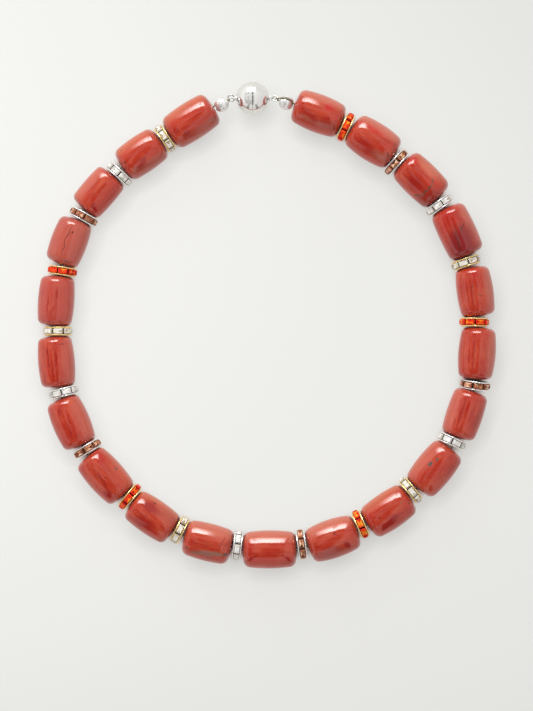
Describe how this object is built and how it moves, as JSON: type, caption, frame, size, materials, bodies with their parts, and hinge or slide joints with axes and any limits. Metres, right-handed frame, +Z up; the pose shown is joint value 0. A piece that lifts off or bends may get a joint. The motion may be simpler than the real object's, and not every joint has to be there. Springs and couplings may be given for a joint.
{
  "type": "gemstone bead necklace",
  "caption": "Closed loop of polished red jasper barrel beads with rhinestone rondelles between them and a magnetic ball clasp, laid flat.",
  "frame": {"origin": "middle of the bounding box, on the surface that the beads rest on", "axes": "+Z up from the surface, +Y from the middle of the loop towards the clasp, +X to the right seen from above"},
  "size_m": [0.1468, 0.1559, 0.0127],
  "materials": {
    "jasper": "polished",
    "gold": "polished",
    "silver": "polished",
    "polished_steel": "polished",
    "clear_stone": "polished",
    "brown_stone": "polished",
    "orange_stone": "polished",
    "thread": "matte"
  },
  "bodies": {
    "root": {"bead_01": "jasper", "bead_02": "jasper", "bead_03": "jasper", "bead_04": "jasper", "bead_05": "jasper", "bead_06": "jasper", "bead_07": "jasper", "bead_08": "jasper", "bead_09": "jasper", "bead_10": "jasper", "bead_11": "jasper", "bead_12": "jasper", "bead_13": "jasper", "bead_14": "jasper", "bead_15": "jasper", "bead_16": "jasper", "bead_17": "jasper", "bead_18": "jasper", "bead_19": "jasper", "bead_20": "jasper", "bead_21": "jasper", "rondelle_01": "gold", "rondelle_02": "silver", "rondelle_03": "silver", "rondelle_04": "gold", "rondelle_05": "gold", "rondelle_06": "silver", "rondelle_07": "silver", "rondelle_08": "gold", "rondelle_09": "gold", "rondelle_10": "silver", "rondelle_11": "silver", "rondelle_12": "gold", "rondelle_13": "gold", "rondelle_14": "silver", "rondelle_15": "silver", "rondelle_16": "gold", "rondelle_17": "gold", "rondelle_18": "silver", "rondelle_19": "silver", "rondelle_20": "gold", "stones_clear_in_gold": "clear_stone", "stones_clear_in_silver": "clear_stone", "stones_brown": "brown_stone", "stones_orange": "orange_stone", "clasp_half_left": "polished_steel", "clasp_half_right": "polished_steel", "jump_ring_left": "polished_steel", "jump_ring_right": "polished_steel", "crimp_cover_left": "polished_steel", "crimp_cover_right": "polished_steel", "thread": "thread"}
  },
  "joints": []
}
